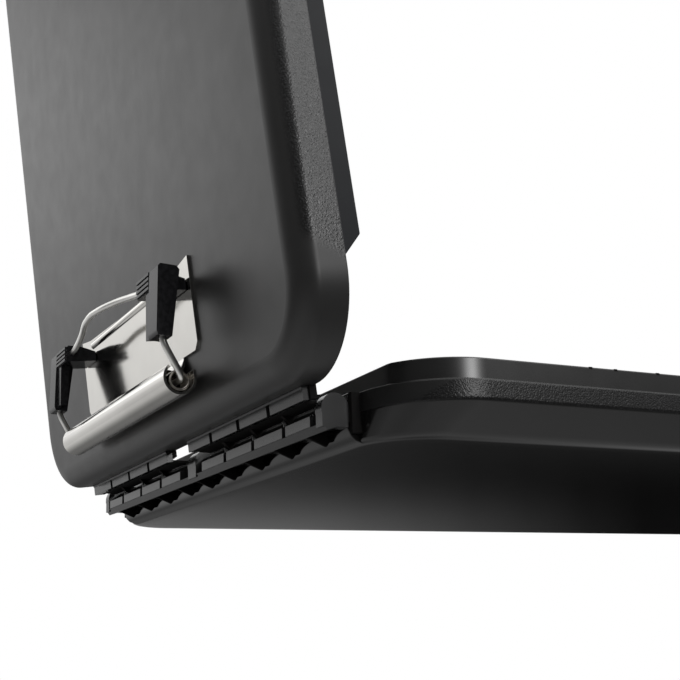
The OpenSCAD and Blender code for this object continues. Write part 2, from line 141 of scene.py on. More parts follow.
# Sizes of the clip, in millimetres: X along the hinge, U along the lid's face from the hinge
# axis, H off the face
ON_LID = LID_PLACE @ Matrix.Translation((0, 0, LID_TOP))
CLIP_X = 54.0
SHEET = 0.8
PLATE_START = 26.5
PLATE_END = 52.0
CORNER_CUT = 2.3
NOTCH_W = 12.0
BEARING_CUT = 4
ROLL_X = 53.3
ROLL_R = 5.0
ROLL_U = 18.5
ROLL_H = 7.0
ROLL_LIP = 38  # degrees
TAB_SPAN = (26, 34)
TAB_FOLD = 3
WEB_SPAN = (42.4, 43.6)
PIVOT_U = 17.9
PIVOT_H = 7.0
WIRE_START = 40.5
WIRE_R = 1.0
WIRE_BEND = 3.2
ARM_X = CLIP_X + 1.1
ARM_U = 29.3
ARM_H = 11.9
CROSS_U = 47.8
CROSS_H = 9.4
BOW = [(37, CROSS_U, CROSS_H), (29, 49, 9.8), (20, 50.2, 10.9), (10, 50.7, 13), (0, 51.1, 13.8)]
SPRING_TURNS = 6
SPRING_PITCH = 1.1
SPRING_R = 2.75
SPRING_WIRE_R = 0.5
SPRING_INSET = 0.8
SPRING_TAIL = 5
GRIP_OUT = 3.5  # how far a grip stands out past its arm
GRIP_W = 7.5
GRIP_REACH = 19.5
GRIP_U = 50.3
GRIP_L = 21
GRIP_FLANGE = 4.5
GRIP_LAP = 0.4
RIBS = 4
RIB_START = 45.2
RIB_PITCH = 1.4
RIB_T = 0.8
RIB_DROP = 0.16

# Steps in a round
SMALL_STEPS = 24
COIL_STEPS = 28
WEB_STEPS = 36
ROLL_STEPS = 48


# ---------------------------------------------------------------- mesh helpers
def add_object(name, data):
    """A new object in the scene."""
    obj = bpy.data.objects.new(name, data)
    bpy.context.scene.collection.objects.link(obj)
    return obj


def turn_outward(mesh):
    """Makes every face of a closed mesh face outward."""
    bm = bmesh.new()
    bm.from_mesh(mesh)
    bmesh.ops.recalc_face_normals(bm, faces=bm.faces)
    bm.to_mesh(mesh)
    bm.free()


def finish_mesh(name, verts, faces, place, materials, face_slots=None):
    """A smooth mesh object from vertices in millimetres, placed in the row frame."""
    mesh = bpy.data.meshes.new(name)
    mesh.from_pydata([tuple(v) for v in verts], [], faces)
    for m in materials:
        mesh.materials.append(m)
    if face_slots is not None:
        mesh.polygons.foreach_set("material_index", face_slots)
    mesh.transform(place)
    mesh.validate()
    turn_outward(mesh)
    mesh.shade_smooth()
    mesh.set_sharp_from_angle(angle=math.radians(38))
    return add_object(name, mesh)


def even_normals(obj):
    """Keeps broad faces flat next to small rounds."""
    mod = obj.modifiers.new("even normals", "WEIGHTED_NORMAL")
    mod.keep_sharp = True
    mod.weight = 80


def soften(obj, width, segments):
    """Rounds an object's sharp edges by width, in millimetres."""
    mod = obj.modifiers.new("soft edges", "BEVEL")
    mod.width = width * MM
    mod.segments = segments
    mod.limit_method = "ANGLE"
    mod.angle_limit = math.radians(32)
    mod.harden_normals = False
    even_normals(obj)


def arc(cx, cy, r, start, end, steps):
    """Points of an arc, in degrees."""
    turns = [math.radians(start + (end - start) * k / steps) for k in range(steps + 1)]
    return [(cx + r * math.cos(a), cy + r * math.sin(a)) for a in turns]


def bend(before, corner, after, steps):
    """Points of a curve from before to after, drawn towards corner."""
    points = []
    for k in range(steps + 1):
        t = k / steps
        points.append((1 - t) ** 2 * before + 2 * t * (1 - t) * corner + t ** 2 * after)
    return points


def ring_faces(i, n):
    """The faces between ring i and the next, each of n points."""
    return [(i * n + k, i * n + (k + 1) % n, (i + 1) * n + (k + 1) % n, (i + 1) * n + k)
            for k in range(n)]


def end_faces(rings, n):
    """The faces that close the first and the last ring."""
    return [tuple(range(n - 1, -1, -1)), tuple((rings - 1) * n + k for k in range(n))]


def level(inset, z, hinge_y, r=None, flat_y=-1e3, front=None):
    """One level of a shell: a rectangle with round corners at height z, cut straight at flat_y.
    The inset is also that of its front edge, unless front says another. The array holds its
    half width, its first and last Y, its corners' radius, flat_y and z."""
    radius = CORNER_R - inset if r is None else r
    front_y = CASE_END - (inset if front is None else front)
    return np.array([SIDE_X - inset, hinge_y, front_y, radius, flat_y, z], float)


def outline(lv, steps=20):
    """The points of one level, the same number at every level."""
    half, y0, y1, r, flat, z = lv
    corners = [(half - r, y0 + r, -90), (half - r, y1 - r, 0),
               (-half + r, y1 - r, 90), (-half + r, y0 + r, 180)]
    return [(x, max(y, flat), z)
            for cx, cy, start in corners
            for x, y in arc(cx, cy, r, start, start + 90, steps)]


def rounded(levels, radii, steps=5):
    """Levels with each inner one replaced by a round of about the radius given for it, which
    takes less than half of the run to the levels beside it."""
    out = [levels[0]]
    for i in range(1, len(levels) - 1):
        here, r = levels[i], radii[i]
        if r <= 0:
            out.append(here)
            continue
        ends = []
        for other in (levels[i - 1], levels[i + 1]):
            run = math.hypot(other[0] - here[0], other[5] - here[5])
            ends.append(here + (other - here) * min(r / max(run, 1e-6), 0.49))
        out += bend(ends[0], here, ends[1], steps)
    out.append(levels[-1])
    return out


def loft(name, levels, place, materials, slot_of):
    """A closed shell through the levels, with flat ends. slot_of gives a face row's material
    from its middle level and its number, which is -1 and -2 for the ends."""
    rings = [outline(lv) for lv in levels]
    n = len(rings[0])
    verts = [p for ring in rings for p in ring]
    faces, slots = [], []
    for i in range(len(rings) - 1):
        faces += ring_faces(i, n)
        slots += [slot_of((levels[i] + levels[i + 1]) / 2, i)] * n
    faces += end_faces(len(rings), n)
    slots += [slot_of(levels[0], -1), slot_of(levels[-1], -2)]
    obj = finish_mesh(name, verts, faces, place, materials, slots)
    even_normals(obj)
    return obj


def prism(profile, x0, x1):
    """Vertices and faces of a profile in Y and Z, extruded along X."""
    verts = [(x, y, z) for x in (x0, x1) for y, z in profile]
    return verts, end_faces(2, len(profile)) + ring_faces(0, len(profile))


def prisms(profile, spans):
    """The profile extruded over each span along X, and over its mirror image."""
    return [prism(profile, *s) for a, b in spans for s in ((a, b), (-b, -a))]


def raw_object(solids):
    """A plain object of solids in millimetres, for a boolean."""
    verts, faces = [], []
    for solid_verts, solid_faces in solids:
        base = len(verts)
        verts += solid_verts
        faces += [tuple(base + i for i in f) for f in solid_faces]
    mesh = bpy.data.meshes.new("raw")
    mesh.from_pydata(verts, [], faces)
    turn_outward(mesh)
    return add_object("raw", mesh)


def fused(name, solids, place, material, bevel, segments=2):
    """Solids joined into one skin, with the edges softened by bevel millimetres."""
    base, rest = raw_object(solids[:1]), raw_object(solids[1:])
    mod = base.modifiers.new("join", "BOOLEAN")
    mod.operation = "UNION"
    mod.object = rest
    mod.solver = "EXACT"
    mod.use_self = True
    graph = bpy.context.evaluated_depsgraph_get()
    skin = bpy.data.meshes.new_from_object(base.evaluated_get(graph))
    verts = [tuple(v.co) for v in skin.vertices]
    faces = [tuple(f.vertices) for f in skin.polygons]
    for helper in (base, rest):
        bpy.data.objects.remove(helper)
    obj = finish_mesh(name, verts, faces, place, [material])
    soften(obj, bevel, segments)
    return obj


def tube(name, points, radius, place, material, sides):
    """A round wire along points, in millimetres."""
    pts = [Vector(p) for p in points]
    last = len(pts) - 1
    tangents = [(pts[min(i + 1, last)] - pts[max(i - 1, 0)]).normalized()
                for i in range(len(pts))]
    side = tangents[0].orthogonal().normalized()
    verts, faces = [], []
    for p, t in zip(pts, tangents):
        side = (side - t * side.dot(t)).normalized()
        up = t.cross(side)
        for k in range(sides):
            a = 2 * math.pi * k / sides
            verts.append(tuple(p + radius * (math.cos(a) * side + math.sin(a) * up)))
    for i in range(last):
        faces += ring_faces(i, sides)
    faces += end_faces(len(pts), sides)
    return finish_mesh(name, verts, faces, place, [material])


def smooth_path(points, reach, steps=8):
    """A line through points, each corner rounded from reach millimetres before it to reach
    millimetres past it."""
    pts = [Vector(p) for p in points]
    out = [pts[0]]
    for i in range(1, len(pts) - 1):
        ends = []
        for other in (pts[i - 1], pts[i + 1]):
            leg = other - pts[i]
            ends.append(pts[i] + leg.normalized() * min(reach, leg.length * 0.49))
        out += bend(ends[0], pts[i], ends[1], steps)
    out.append(pts[-1])
    return out


# ---------------------------------------------------------------- materials
def new_material(name):
    """An empty node material with a Principled shader at its output."""
    mat = bpy.data.materials.new(name)
    mat.use_nodes = True
    tree = mat.node_tree
    tree.nodes.clear()
    out = tree.nodes.new("ShaderNodeOutputMaterial")
    shader = tree.nodes.new("ShaderNodeBsdfPrincipled")
    tree.links.new(shader.outputs[0], out.inputs[0])
    return mat, tree, shader


def node(tree, kind, **inputs):
    """A node with its inputs set by name."""
    made = tree.nodes.new(kind)
    for key, value in inputs.items():
        made.inputs[key].default_value = value
    return made


def math_node(tree, operation, *values):
    """A Math node's output, with each value a number or another node's output."""
    made = tree.nodes.new("ShaderNodeMath")
    made.operation = operation
    for socket, value in zip(made.inputs, values):
        if isinstance(value, (int, float)):
            socket.default_value = value
        else:
            tree.links.new(value, socket)
    return made.outputs[0]


def ramp(tree, source, stops, target):
    """Feeds target with source through a colour ramp of (place, grey or colour) stops."""
    made = tree.nodes.new("ShaderNodeValToRGB")
    for element, (place, value) in zip(made.color_ramp.elements, stops):
        element.position = place
        element.color = (value, value, value, 1) if isinstance(value, float) else (*value, 1)
    tree.links.new(source, made.inputs[0])
    tree.links.new(made.outputs[0], target)


def object_coords(tree):
    """Object coordinates, in metres."""
    return tree.nodes.new("ShaderNodeTexCoord").outputs["Object"]


def noise(tree, coords, **inputs):
    """A noise texture's value."""
    made = node(tree, "ShaderNodeTexNoise", **inputs)
    tree.links.new(coords, made.inputs["Vector"])
    return made.outputs[0]


def bump(tree, shader, height, strength, distance):
    """Bumps a shader by a height, with strength a number or a node's output and distance in
    metres."""
    made = node(tree, "ShaderNodeBump", Distance=distance)
    if isinstance(strength, float):
        made.inputs["Strength"].default_value = strength
    else:
        tree.links.new(strength, made.inputs["Strength"])
    tree.links.new(height, made.inputs["Height"])
    tree.links.new(made.outputs[0], shader.inputs["Normal"])


def let_through(tree, shader, amount):
    """Lets light pass a shader unchanged, by an amount from 0 to 1."""
    clear = tree.nodes.new("ShaderNodeBsdfTransparent")
    mix = tree.nodes.new("ShaderNodeMixShader")
    out = next(n for n in tree.nodes if n.type == "OUTPUT_MATERIAL")
    tree.links.new(amount, mix.inputs[0])
    tree.links.new(shader.outputs[0], mix.inputs[1])
    tree.links.new(clear.outputs[0], mix.inputs[2])
    tree.links.new(mix.outputs[0], out.inputs[0])


def smooth_plastic(name, dark, light, roughness, grain=0.02, specular=0.5):
    """Moulded plastic without texture: faint mottling of colour and gloss, and a very fine
    grain."""
    mat, tree, shader = new_material(name)
    coords = object_coords(tree)
    mottle = noise(tree, coords, Scale=38.0, Detail=4.0, Roughness=0.6)
    ramp(tree, mottle, [(0.3, dark), (0.7, light)], shader.inputs["Base Color"])
    gloss = noise(tree, coords, Scale=120.0, Detail=3.0)
    ramp(tree, gloss, [(0.3, roughness * 0.96), (0.7, roughness * 1.04)],
         shader.inputs["Roughness"])
    fine = noise(tree, coords, Scale=2600.0, Detail=2.0)
    bump(tree, shader, fine, strength=grain, distance=0.0002)
    shader.inputs["Specular IOR Level"].default_value = specular
    return mat


def pebbled_plastic(name, dark, light, plain, roughness, fades):
    """The case's textured band: a fine pebble grain, coloured dark in its pits as painted shade
    and light on its crowns as painted highlight, which fades out to smooth plastic. Each fade is
    a direction, the distance along it from the hinge where it begins, and its length, in
    millimetres with the lid open; X counts both ways from the middle."""
    cell = 2400.0
    smooth_roughness = 0.4
    mat, tree, shader = new_material(name)
    coords = object_coords(tree)
    cells = node(tree, "ShaderNodeTexVoronoi", Scale=cell, Randomness=1.0)
    cells.feature = "SMOOTH_F1"
    tree.links.new(coords, cells.inputs["Vector"])
    wave = noise(tree, coords, Scale=cell * 0.8, Detail=2.0, Roughness=0.6)
    height = math_node(tree, "SUBTRACT", wave, cells.outputs["Distance"])
    axes = tree.nodes.new("ShaderNodeSeparateXYZ")
    tree.links.new(coords, axes.inputs[0])
    place = (math_node(tree, "ABSOLUTE", axes.outputs["X"]),
             math_node(tree, "SUBTRACT", axes.outputs["Y"], HINGE.y),
             math_node(tree, "SUBTRACT", axes.outputs["Z"], HINGE.z))
    amount = None
    for direction, begins, length in fades:
        along = None
        for value, weight in zip(place, direction):
            if weight:
                part = math_node(tree, "MULTIPLY", value, weight)
                along = part if along is None else math_node(tree, "ADD", along, part)
        fade = tree.nodes.new("ShaderNodeMapRange")
        fade.interpolation_type = "SMOOTHSTEP"
        fade.inputs["From Min"].default_value = begins * MM
        fade.inputs["From Max"].default_value = (begins + length) * MM
        tree.links.new(along, fade.inputs["Value"])
        faded = fade.outputs[0]
        amount = faded if amount is None else math_node(tree, "MULTIPLY", amount, faded)
    colour = tree.nodes.new("ShaderNodeMix")
    colour.data_type = "RGBA"
    tree.links.new(amount, colour.inputs[0])
    colour.inputs[6].default_value = (*plain, 1)
    # Painted shade and highlight: the grain's pits are coloured dark and its crowns light, by
    # their height.
    ramp(tree, height, [(0.0, dark), (0.55, light)], colour.inputs[7])
    tree.links.new(colour.outputs[2], shader.inputs["Base Color"])
    satin = tree.nodes.new("ShaderNodeMapRange")
    satin.inputs["To Min"].default_value = smooth_roughness
    satin.inputs["To Max"].default_value = roughness
    tree.links.new(amount, satin.inputs["Value"])
    tree.links.new(satin.outputs[0], shader.inputs["Roughness"])
    strength = math_node(tree, "MULTIPLY", amount, 0.4)
    bump(tree, shader, height, strength, distance=0.00016)
    return mat


def plated_metal(name, colour, roughness):
    """Metal with faint stains, and ripples from pressing."""
    mat, tree, shader = new_material(name)
    shader.inputs["Metallic"].default_value = 1.0
    coords = object_coords(tree)
    stain = noise(tree, coords, Scale=60.0, Detail=3.0)
    dim = tuple(c * 0.93 for c in colour)
    ramp(tree, stain, [(0.35, dim), (0.65, colour)], shader.inputs["Base Color"])
    ramp(tree, stain, [(0.3, roughness), (0.8, roughness + 0.05)], shader.inputs["Roughness"])
    ripple = noise(tree, coords, Scale=90.0, Detail=1.0)
    bump(tree, shader, ripple, strength=0.03, distance=0.001)
    return mat


def glossy_plastic(name, colour, roughness):
    """Dark moulded plastic with a faint orange peel."""
    mat, tree, shader = new_material(name)
    shader.inputs["Specular IOR Level"].default_value = 0.08
    peel = noise(tree, object_coords(tree), Scale=700.0, Detail=2.0)
    light = tuple(c * 1.6 + 0.002 for c in colour)
    ramp(tree, peel, [(0.35, colour), (0.7, light)], shader.inputs["Base Color"])
    ramp(tree, peel, [(0.3, roughness), (0.7, roughness + 0.06)], shader.inputs["Roughness"])
    bump(tree, shader, peel, strength=0.03, distance=0.00005)
    return mat


LID_FACE = smooth_plastic(
    "lid_satin", (0.0135, 0.0132, 0.013), (0.016, 0.0156, 0.0154), roughness=0.4, grain=0.007)
# Its dark colour is painted shade in the grain's pits, and its light one painted highlight on
# the crowns.
LID_GRAIN = pebbled_plastic(
    "lid_pebbled", (0.004, 0.004, 0.004), (0.02, 0.02, 0.021), plain=(0.0145, 0.0142, 0.014),
    roughness=0.26, fades=[((1, 0, 0), 117.8, 1.8), ((0, 0.45, 1), 25.5, 5)])
TRAY_FACE = smooth_plastic(
    "tray_satin", (0.003, 0.0029, 0.0029), (0.0045, 0.0043, 0.0043), roughness=0.1, grain=0.007)
TRAY_INSIDE = smooth_plastic(
    "tray_inside", (0.008, 0.0078, 0.0077), (0.011, 0.0107, 0.0105), roughness=0.42)
RIM_GLOSS = smooth_plastic(
    "rim_gloss", (0.003, 0.003, 0.003), (0.0045, 0.0043, 0.0042), roughness=0.3, grain=0.01,
    specular=0.85)
# Its dark colour is painted shade in the grain's pits, and its light one painted highlight on
# the crowns.
TRAY_GRAIN = pebbled_plastic(
    "tray_pebbled", (0.004, 0.004, 0.004), (0.012, 0.012, 0.013), plain=(0.007, 0.007, 0.007),
    roughness=0.32, fades=[((0, 1, -1.8), 13.4, 2)])
HINGE_PLASTIC = smooth_plastic(
    "hinge_satin", (0.014, 0.014, 0.0145), (0.018, 0.018, 0.0185), roughness=0.2, specular=0.4)
# Painted shade: a near-black, matt copy of the hinge plastic. It is used for the parts in the
# hinge's recess and for the rim's nicks, and stands for the shade there.
HINGE_PAINTED_SHADE = smooth_plastic(
    "hinge_painted_shade", (0.007, 0.0065, 0.0065), (0.009, 0.0085, 0.0085), roughness=0.7,
    specular=0.05)
TONGUE = smooth_plastic(
    "tongue_satin", (0.006, 0.007, 0.009), (0.009, 0.010, 0.012), roughness=0.3, specular=0.12)
PLATE = plated_metal("nickel_plate", (0.68, 0.665, 0.63), roughness=0.09)
WIRE = plated_metal("nickel_wire", (0.84, 0.83, 0.8), roughness=0.28)
# Painted shade: dark steel for the lining inside the channel, which stands for the shade in it.
# The webs that carry the bail are real parts and share it.
CHANNEL_PAINTED_SHADE = plated_metal("channel_painted_shade", (0.05, 0.04, 0.03), roughness=0.4)
SPRING = plated_metal("spring_wire", (0.66, 0.62, 0.56), roughness=0.22)
GRIP = glossy_plastic("grip_black", (0.012, 0.012, 0.013), roughness=0.15)


# ---------------------------------------------------------------- tray
def tray_shell():
    """The tray from its floor inside, over the rim and down the band and the skirt, to its
    bottom."""
    wall = RIM_INSET + RIM_T
    top = PARTING - GAP / 2
    low = BOTTOM_INSET + SKIRT_T
    inner_y = RIM_START + RIM_T
    floor_r = BOTTOM_R - 1.5
    flat = 8
    levels = [
        level(low, BOTTOM_Z + FLOOR_T, inner_y, floor_r, inner_y, low),
        level(low - SHARP, BOTTOM_Z + (FLOOR_T + SHARP), inner_y, floor_r, inner_y, low),
        level(wall, BAND_Z - 1.5, CASE_START + wall, None, inner_y),
        level(wall, RIM_TOP, CASE_START + wall, None, inner_y),
        level(RIM_INSET, RIM_TOP, CASE_START + RIM_INSET, None, RIM_START),
        level(RIM_INSET, top, CASE_START + RIM_INSET, None, RIM_START),
        level(0, top, CASE_START),
        level(0, BAND_Z, CASE_START),
        level(BOTTOM_INSET, BOTTOM_Z, BOTTOM_START, BOTTOM_R),
        level(BOTTOM_INSET + flat, BOTTOM_Z, BOTTOM_START + flat, BOTTOM_R - flat / 2),
    ]
    radii = [0, 0, 2.5, 0.45, 0.45, 0.5, 0.5, 0.8, 2.6, 0]
    inner_rows = len(rounded(levels[:4], radii[:4])) - 1
    face, grain, rim, inside = range(4)

    def slot_of(mid, i):
        half_width, z = mid[0], mid[5]
        if -1 <= i < inner_rows:
            return inside
        if z > top + 0.1:
            return rim
        return grain if half_width > SIDE_X - 0.2 and z > BAND_Z - 0.1 else face

    tray = loft("tray_shell", rounded(levels, radii), TRAY_PLACE,
                [TRAY_FACE, TRAY_GRAIN, RIM_GLOSS, TRAY_INSIDE], slot_of)
    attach(tray, "tray_body")
    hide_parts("tray")


def rim_notches():
    """Dark inlays that stand for the small nicks in the top edge of the rim's sides: their dark
    is painted shade, the shade inside the nicks.
    """
    outer = SIDE_X - RIM_INSET + NICK_PROUD
    low, high = RIM_TOP - NICK_H, RIM_TOP + NICK_PROUD
    solids = []
    for group in range(NICK_GROUPS):
        for step in NICK_STEPS:
            y = NICK_START + NICK_GROUP_PITCH * group + step
            nick = [(y, low), (y + NICK_W, low), (y + NICK_W, high), (y, high)]
            solids += prisms(nick, [(outer - RIM_T - 2 * NICK_PROUD, outer)])
    # The inlays are painted shade, in the near-black hinge plastic.
    nicks = fused("rim_notches", solids, TRAY_PLACE, HINGE_PAINTED_SHADE, bevel=0.02)
    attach(nicks, "tray_body")
    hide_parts("tray")


def tray_hinge():
    """The tray's half of the hinge. Its pads, ledge and lugs are one piece, and the wall under
    the ledge is the second. The third is what lies in the recess: the barrels round the rod, the
    gussets and the end walls, coloured near-black as painted shade."""
    deep = HOUSING_Y + INTO_HOUSING
    pad_low = PAD_TOP_Z - PAD_LIP_H
    barrel = arc(0, 0, KNUCKLE_R, 0, 180, SMALL_STEPS) + [(-KNUCKLE_R, pad_low), (deep, pad_low)]
    pad = [(PAD_Y + PAD_LIP, PAD_TOP_Z), (PAD_Y, PAD_TOP_Z), (PAD_Y, LEDGE_TOP_Z),
           (LEDGE_Y, LEDGE_TOP_Z), (LEDGE_FOOT, LEDGE_Z), (deep, LEDGE_WALL_Z),
           (deep, pad_low), (PAD_Y + PAD_LIP, pad_low)]
    lug = (arc(0, 0, LUG_R, 0, 180, SMALL_STEPS)
           + [(-LUG_R, -1), (LEDGE_Y, -1.5), (LEDGE_Y, LEDGE_Z + 1), (deep, LEDGE_Z + 1),
              (deep, 0)])
    ledge = [(LEDGE_Y, LEDGE_TOP_Z), (LEDGE_FOOT, LEDGE_Z), (deep, LEDGE_WALL_Z),
             (deep, LEDGE_WALL_Z + LEDGE_T)]
    gusset = [(LEDGE_FOOT - 0.1, LEDGE_Z + 0.1), (HOUSING_Y - 0.7, BOTTOM_Z + 1.2),
              (HOUSING_Y + 0.2, BOTTOM_Z + 2.4), (HOUSING_Y + 0.2, LEDGE_WALL_Z)]
    top = PARTING - GAP / 2 - 0.02
    start = CASE_START + 1.5
    low = BOTTOM_Z + 0.03
    wall = [(BOTTOM_START + 2.8, low), (BOTTOM_START + 1, BOTTOM_Z + 0.25),
            (BOTTOM_START - 0.9, BOTTOM_Z + 0.9), (BOTTOM_START - 2.2, BOTTOM_Z + 2.1),
            (HOUSING_Y - 0.6, BOTTOM_Z + 4), (HOUSING_Y - 0.6, LEDGE_WALL_Z),
            (HOUSING_Y, LEDGE_WALL_Z + 0.5), (HOUSING_Y, top), (start, top), (start + 1.3, low)]
    end = [(HOUSING_Y, top), (start, top), (start, LEDGE_Z - 0.7), (HOUSING_Y, LEDGE_Z - 0.7)]
    stub = arc(PAD_Y + 1.4, PAD_TOP_Z - 0.4, STUB_R, 0, 345, SMALL_STEPS)
    solids = [prism(ledge, -LUG_END, LUG_END), prism(lug, -CENTRE_LUG, CENTRE_LUG)]
    solids += prisms(pad, PADS)
    solids += prisms(lug, [(LUG_END - LUG_T, LUG_END)])
    solids += prisms(stub, [(PAD_END - 1, PAD_END + 0.5)])
    # The end walls, barrels and gussets get painted shade: a near-black plastic that stands for
    # the shade in the recess.
    shaded = prisms(end, [(LUG_END - 0.5, LUG_END + 1.5)])
    shaded += prisms(barrel, [(a + 0.1, b - 0.1) for a, b in PADS])
    for i in range(-4, 5):
        x = i * GUSSET_PITCH - (i > 0) * GUSSET_SHIFT + (i < 0) * GUSSET_SHIFT
        shaded.append(prism(gusset, x - GUSSET_T / 2, x + GUSSET_T / 2))
    for name, parts, material in (
            ("tray_hinge", solids, HINGE_PLASTIC),
            ("tray_hinge_foot", [prism(wall, -LUG_END, LUG_END)], TRAY_FACE),
            ("tray_hinge_recess", shaded, HINGE_PAINTED_SHADE)):
        hinge = fused(name, parts, TRAY_PLACE, material, bevel=0.3, segments=3)
        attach(hinge, "tray_body")
        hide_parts("tray")


# ---------------------------------------------------------------- lid
def lid_shell():
    """The lid from its inner face, round its lower edge and up the band, to its outer face."""
    edge = PARTING + GAP / 2
    rabbet = RIM_INSET - GAP
    levels = [
        level(LID_ROUND, LID_TOP - LID_T, CASE_START + LID_ROUND),
        level(LID_ROUND - SHARP, LID_TOP - LID_T, CASE_START + LID_ROUND),
        level(LID_WALL, LID_BAND, CASE_START + LID_WALL),
        level(LID_WALL, RIM_TOP + GAP, CASE_START + LID_WALL),
        level(rabbet, RIM_TOP + GAP, CASE_START + rabbet),
        level(rabbet, edge, CASE_START + rabbet),
        level(0, edge, CASE_START),
        level(0, LID_BAND, CASE_START),
    ]
    levels = rounded(levels, [0, 0, 2.5, 0.4, 0.3, 0.2, 0.35, 0])
    steps = 14
    for k in range(1, steps + 1):
        a = math.radians(90 * k / steps)
        inset = LID_ROUND * (1 - math.cos(a))
        levels.append(level(inset, LID_BAND + (LID_TOP - LID_BAND) * math.sin(a),
                            CASE_START + inset))
    levels.append(level(LID_ROUND + SHARP, LID_TOP, CASE_START + LID_ROUND + SHARP))
    face, grain = range(2)

    def slot_of(mid, i):
        # The grain's slot reaches onto the round, where the grain's own fade ends it
        half_width, z = mid[0], mid[5]
        return grain if half_width > SIDE_X - 2.6 and z > edge + 0.1 else face

    lid = loft("lid_shell", levels, LID_PLACE, [LID_FACE, LID_GRAIN], slot_of)
    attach(lid, "lid_body")
    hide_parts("lid")


def lid_hinge():
    """The lid's half of the hinge. Its flanges, their step and the noses at the slits are one
    piece. The other is what lies behind them: the apron, the web, the arms to the rod and the
    brackets at the ends, coloured near-black as painted shade."""
    root = CASE_START + 1
    edge = PARTING + GAP / 2
    under = FLANGE_Z - FLANGE_T
    step_z = FLANGE_Z + 0.35
    apron = [(1.9, 1.0), (2.7, 1.0), (3.4, under + 0.05), (FLANGE_START + 0.1, under + 0.05)]
    nose = [(-0.6, 4.1), (-0.9, 1.9), (0.5, 1.2), (2.6, 2.8), (2.4, 3.7)]
    arm = (arc(0, 0, EYELET_R, 125, 360, SMALL_STEPS)
           + [(HOUSING_Y - 0.6, edge - 1), (HOUSING_Y, edge), (root, edge), (root, under + 0.05),
              (HOUSING_Y - 0.6, under - 1), (0.3 * EYELET_R, 1.5 * EYELET_R)])
    flange = [(FLANGE_START, under), (FLANGE_START, FLANGE_Z), (root, FLANGE_Z), (root, under)]
    step = [(5.7, FLANGE_Z - 1), (5.7, FLANGE_Z + 0.05), (6.1, step_z), (root, step_z),
            (root, FLANGE_Z - 1)]
    web = [(HOUSING_Y + 0.4, edge + 0.05), (FLANGE_START + 0.7, under + 0.1),
           (root, under + 0.1), (root, edge + 0.05)]
    bracket = [(2.8, 4.3), (3.4, 3.4), (3.8, 3.1), (3.8, edge), (root, edge),
               (root, under + 0.3), (2.8, under + 0.3)]
    solids = prisms(flange, FLANGES)
    solids += prisms(step, [(FIRST_START, FLANGE_END)])
    solids += prisms(nose, [(s - NOSE_SPAN[0], s - NOSE_SPAN[1]) for s in SLITS])
    # The apron, web, arms and brackets get painted shade: a near-black plastic that stands for
    # the shade behind the flanges.
    shaded = prisms(apron, [(FIRST_START + 0.2, PAD_END + 1.5)])
    shaded += prisms(web, [(FIRST_START + 0.3, LUG_END - 0.3)])
    shaded += prisms(arm, [(s - ARM_T / 2, s + ARM_T / 2) for s in SLITS])
    shaded += prisms(bracket, [(LUG_END - BRACKET_T, LUG_END)])
    for name, parts, material in (("lid_hinge_half", solids, HINGE_PLASTIC),
                                  ("lid_hinge_arms", shaded, HINGE_PAINTED_SHADE)):
        hinge = fused(name, parts, LID_PLACE, material, bevel=0.25, segments=3)
        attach(hinge, "lid_body")
        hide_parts("lid")


def lid_tongues():
    """The tongue inside each side wall, which reaches into the tray when the lid is closed."""
    out_z = PARTING - TONGUE_OUT
    root = LID_TOP - LID_T + 0.5
    start, end = TONGUE_START, CASE_END - TONGUE_START
    side = [(start, root), (start, PARTING), (start + TONGUE_SLOPE, out_z),
            (end - TONGUE_SLOPE, out_z), (end, PARTING), (end, root)]
    x = SIDE_X - TONGUE_IN
    tongues = fused("lid_tongues", prisms(side, [(x - TONGUE_T, x)]), LID_PLACE, TONGUE,
                    bevel=0.3)
    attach(tongues, "lid_body")
    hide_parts("lid")


